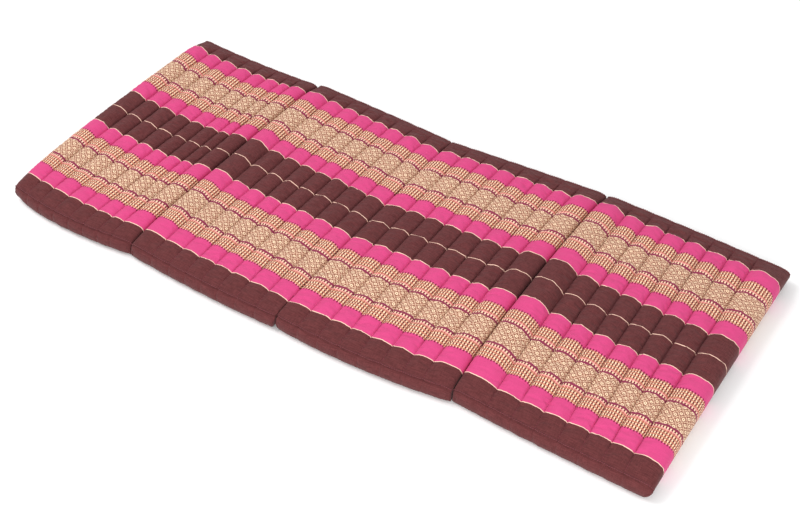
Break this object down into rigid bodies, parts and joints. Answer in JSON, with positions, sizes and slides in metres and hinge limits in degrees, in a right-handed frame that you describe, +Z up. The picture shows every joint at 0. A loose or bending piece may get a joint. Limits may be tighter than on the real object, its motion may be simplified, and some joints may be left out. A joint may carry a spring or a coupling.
{
  "type": "folding floor mattress",
  "caption": "Stuffed fold-out floor mattress lying open, striped and patterned cotton over soft channels that run across it, with sewn joints between its panels.",
  "frame": {"origin": "middle of the footprint, on the floor", "axes": "+X along the mattress from panel_1 to panel_4, +Y across it along the channels, +Z up"},
  "size_m": [2.017, 0.9602, 0.08],
  "materials": {
    "panel_cloth": "woven cotton in pink, maroon and patterned stripes, matt",
    "seam_cloth": "folded and sewn maroon cotton, matt"
  },
  "bodies": {
    "root": {"panel_1": "panel_cloth", "panel_2": "panel_cloth", "panel_3": "panel_cloth", "panel_4": "panel_cloth", "lower_seam_left": "seam_cloth", "upper_seam_middle": "seam_cloth", "lower_seam_right": "seam_cloth"}
  },
  "joints": []
}
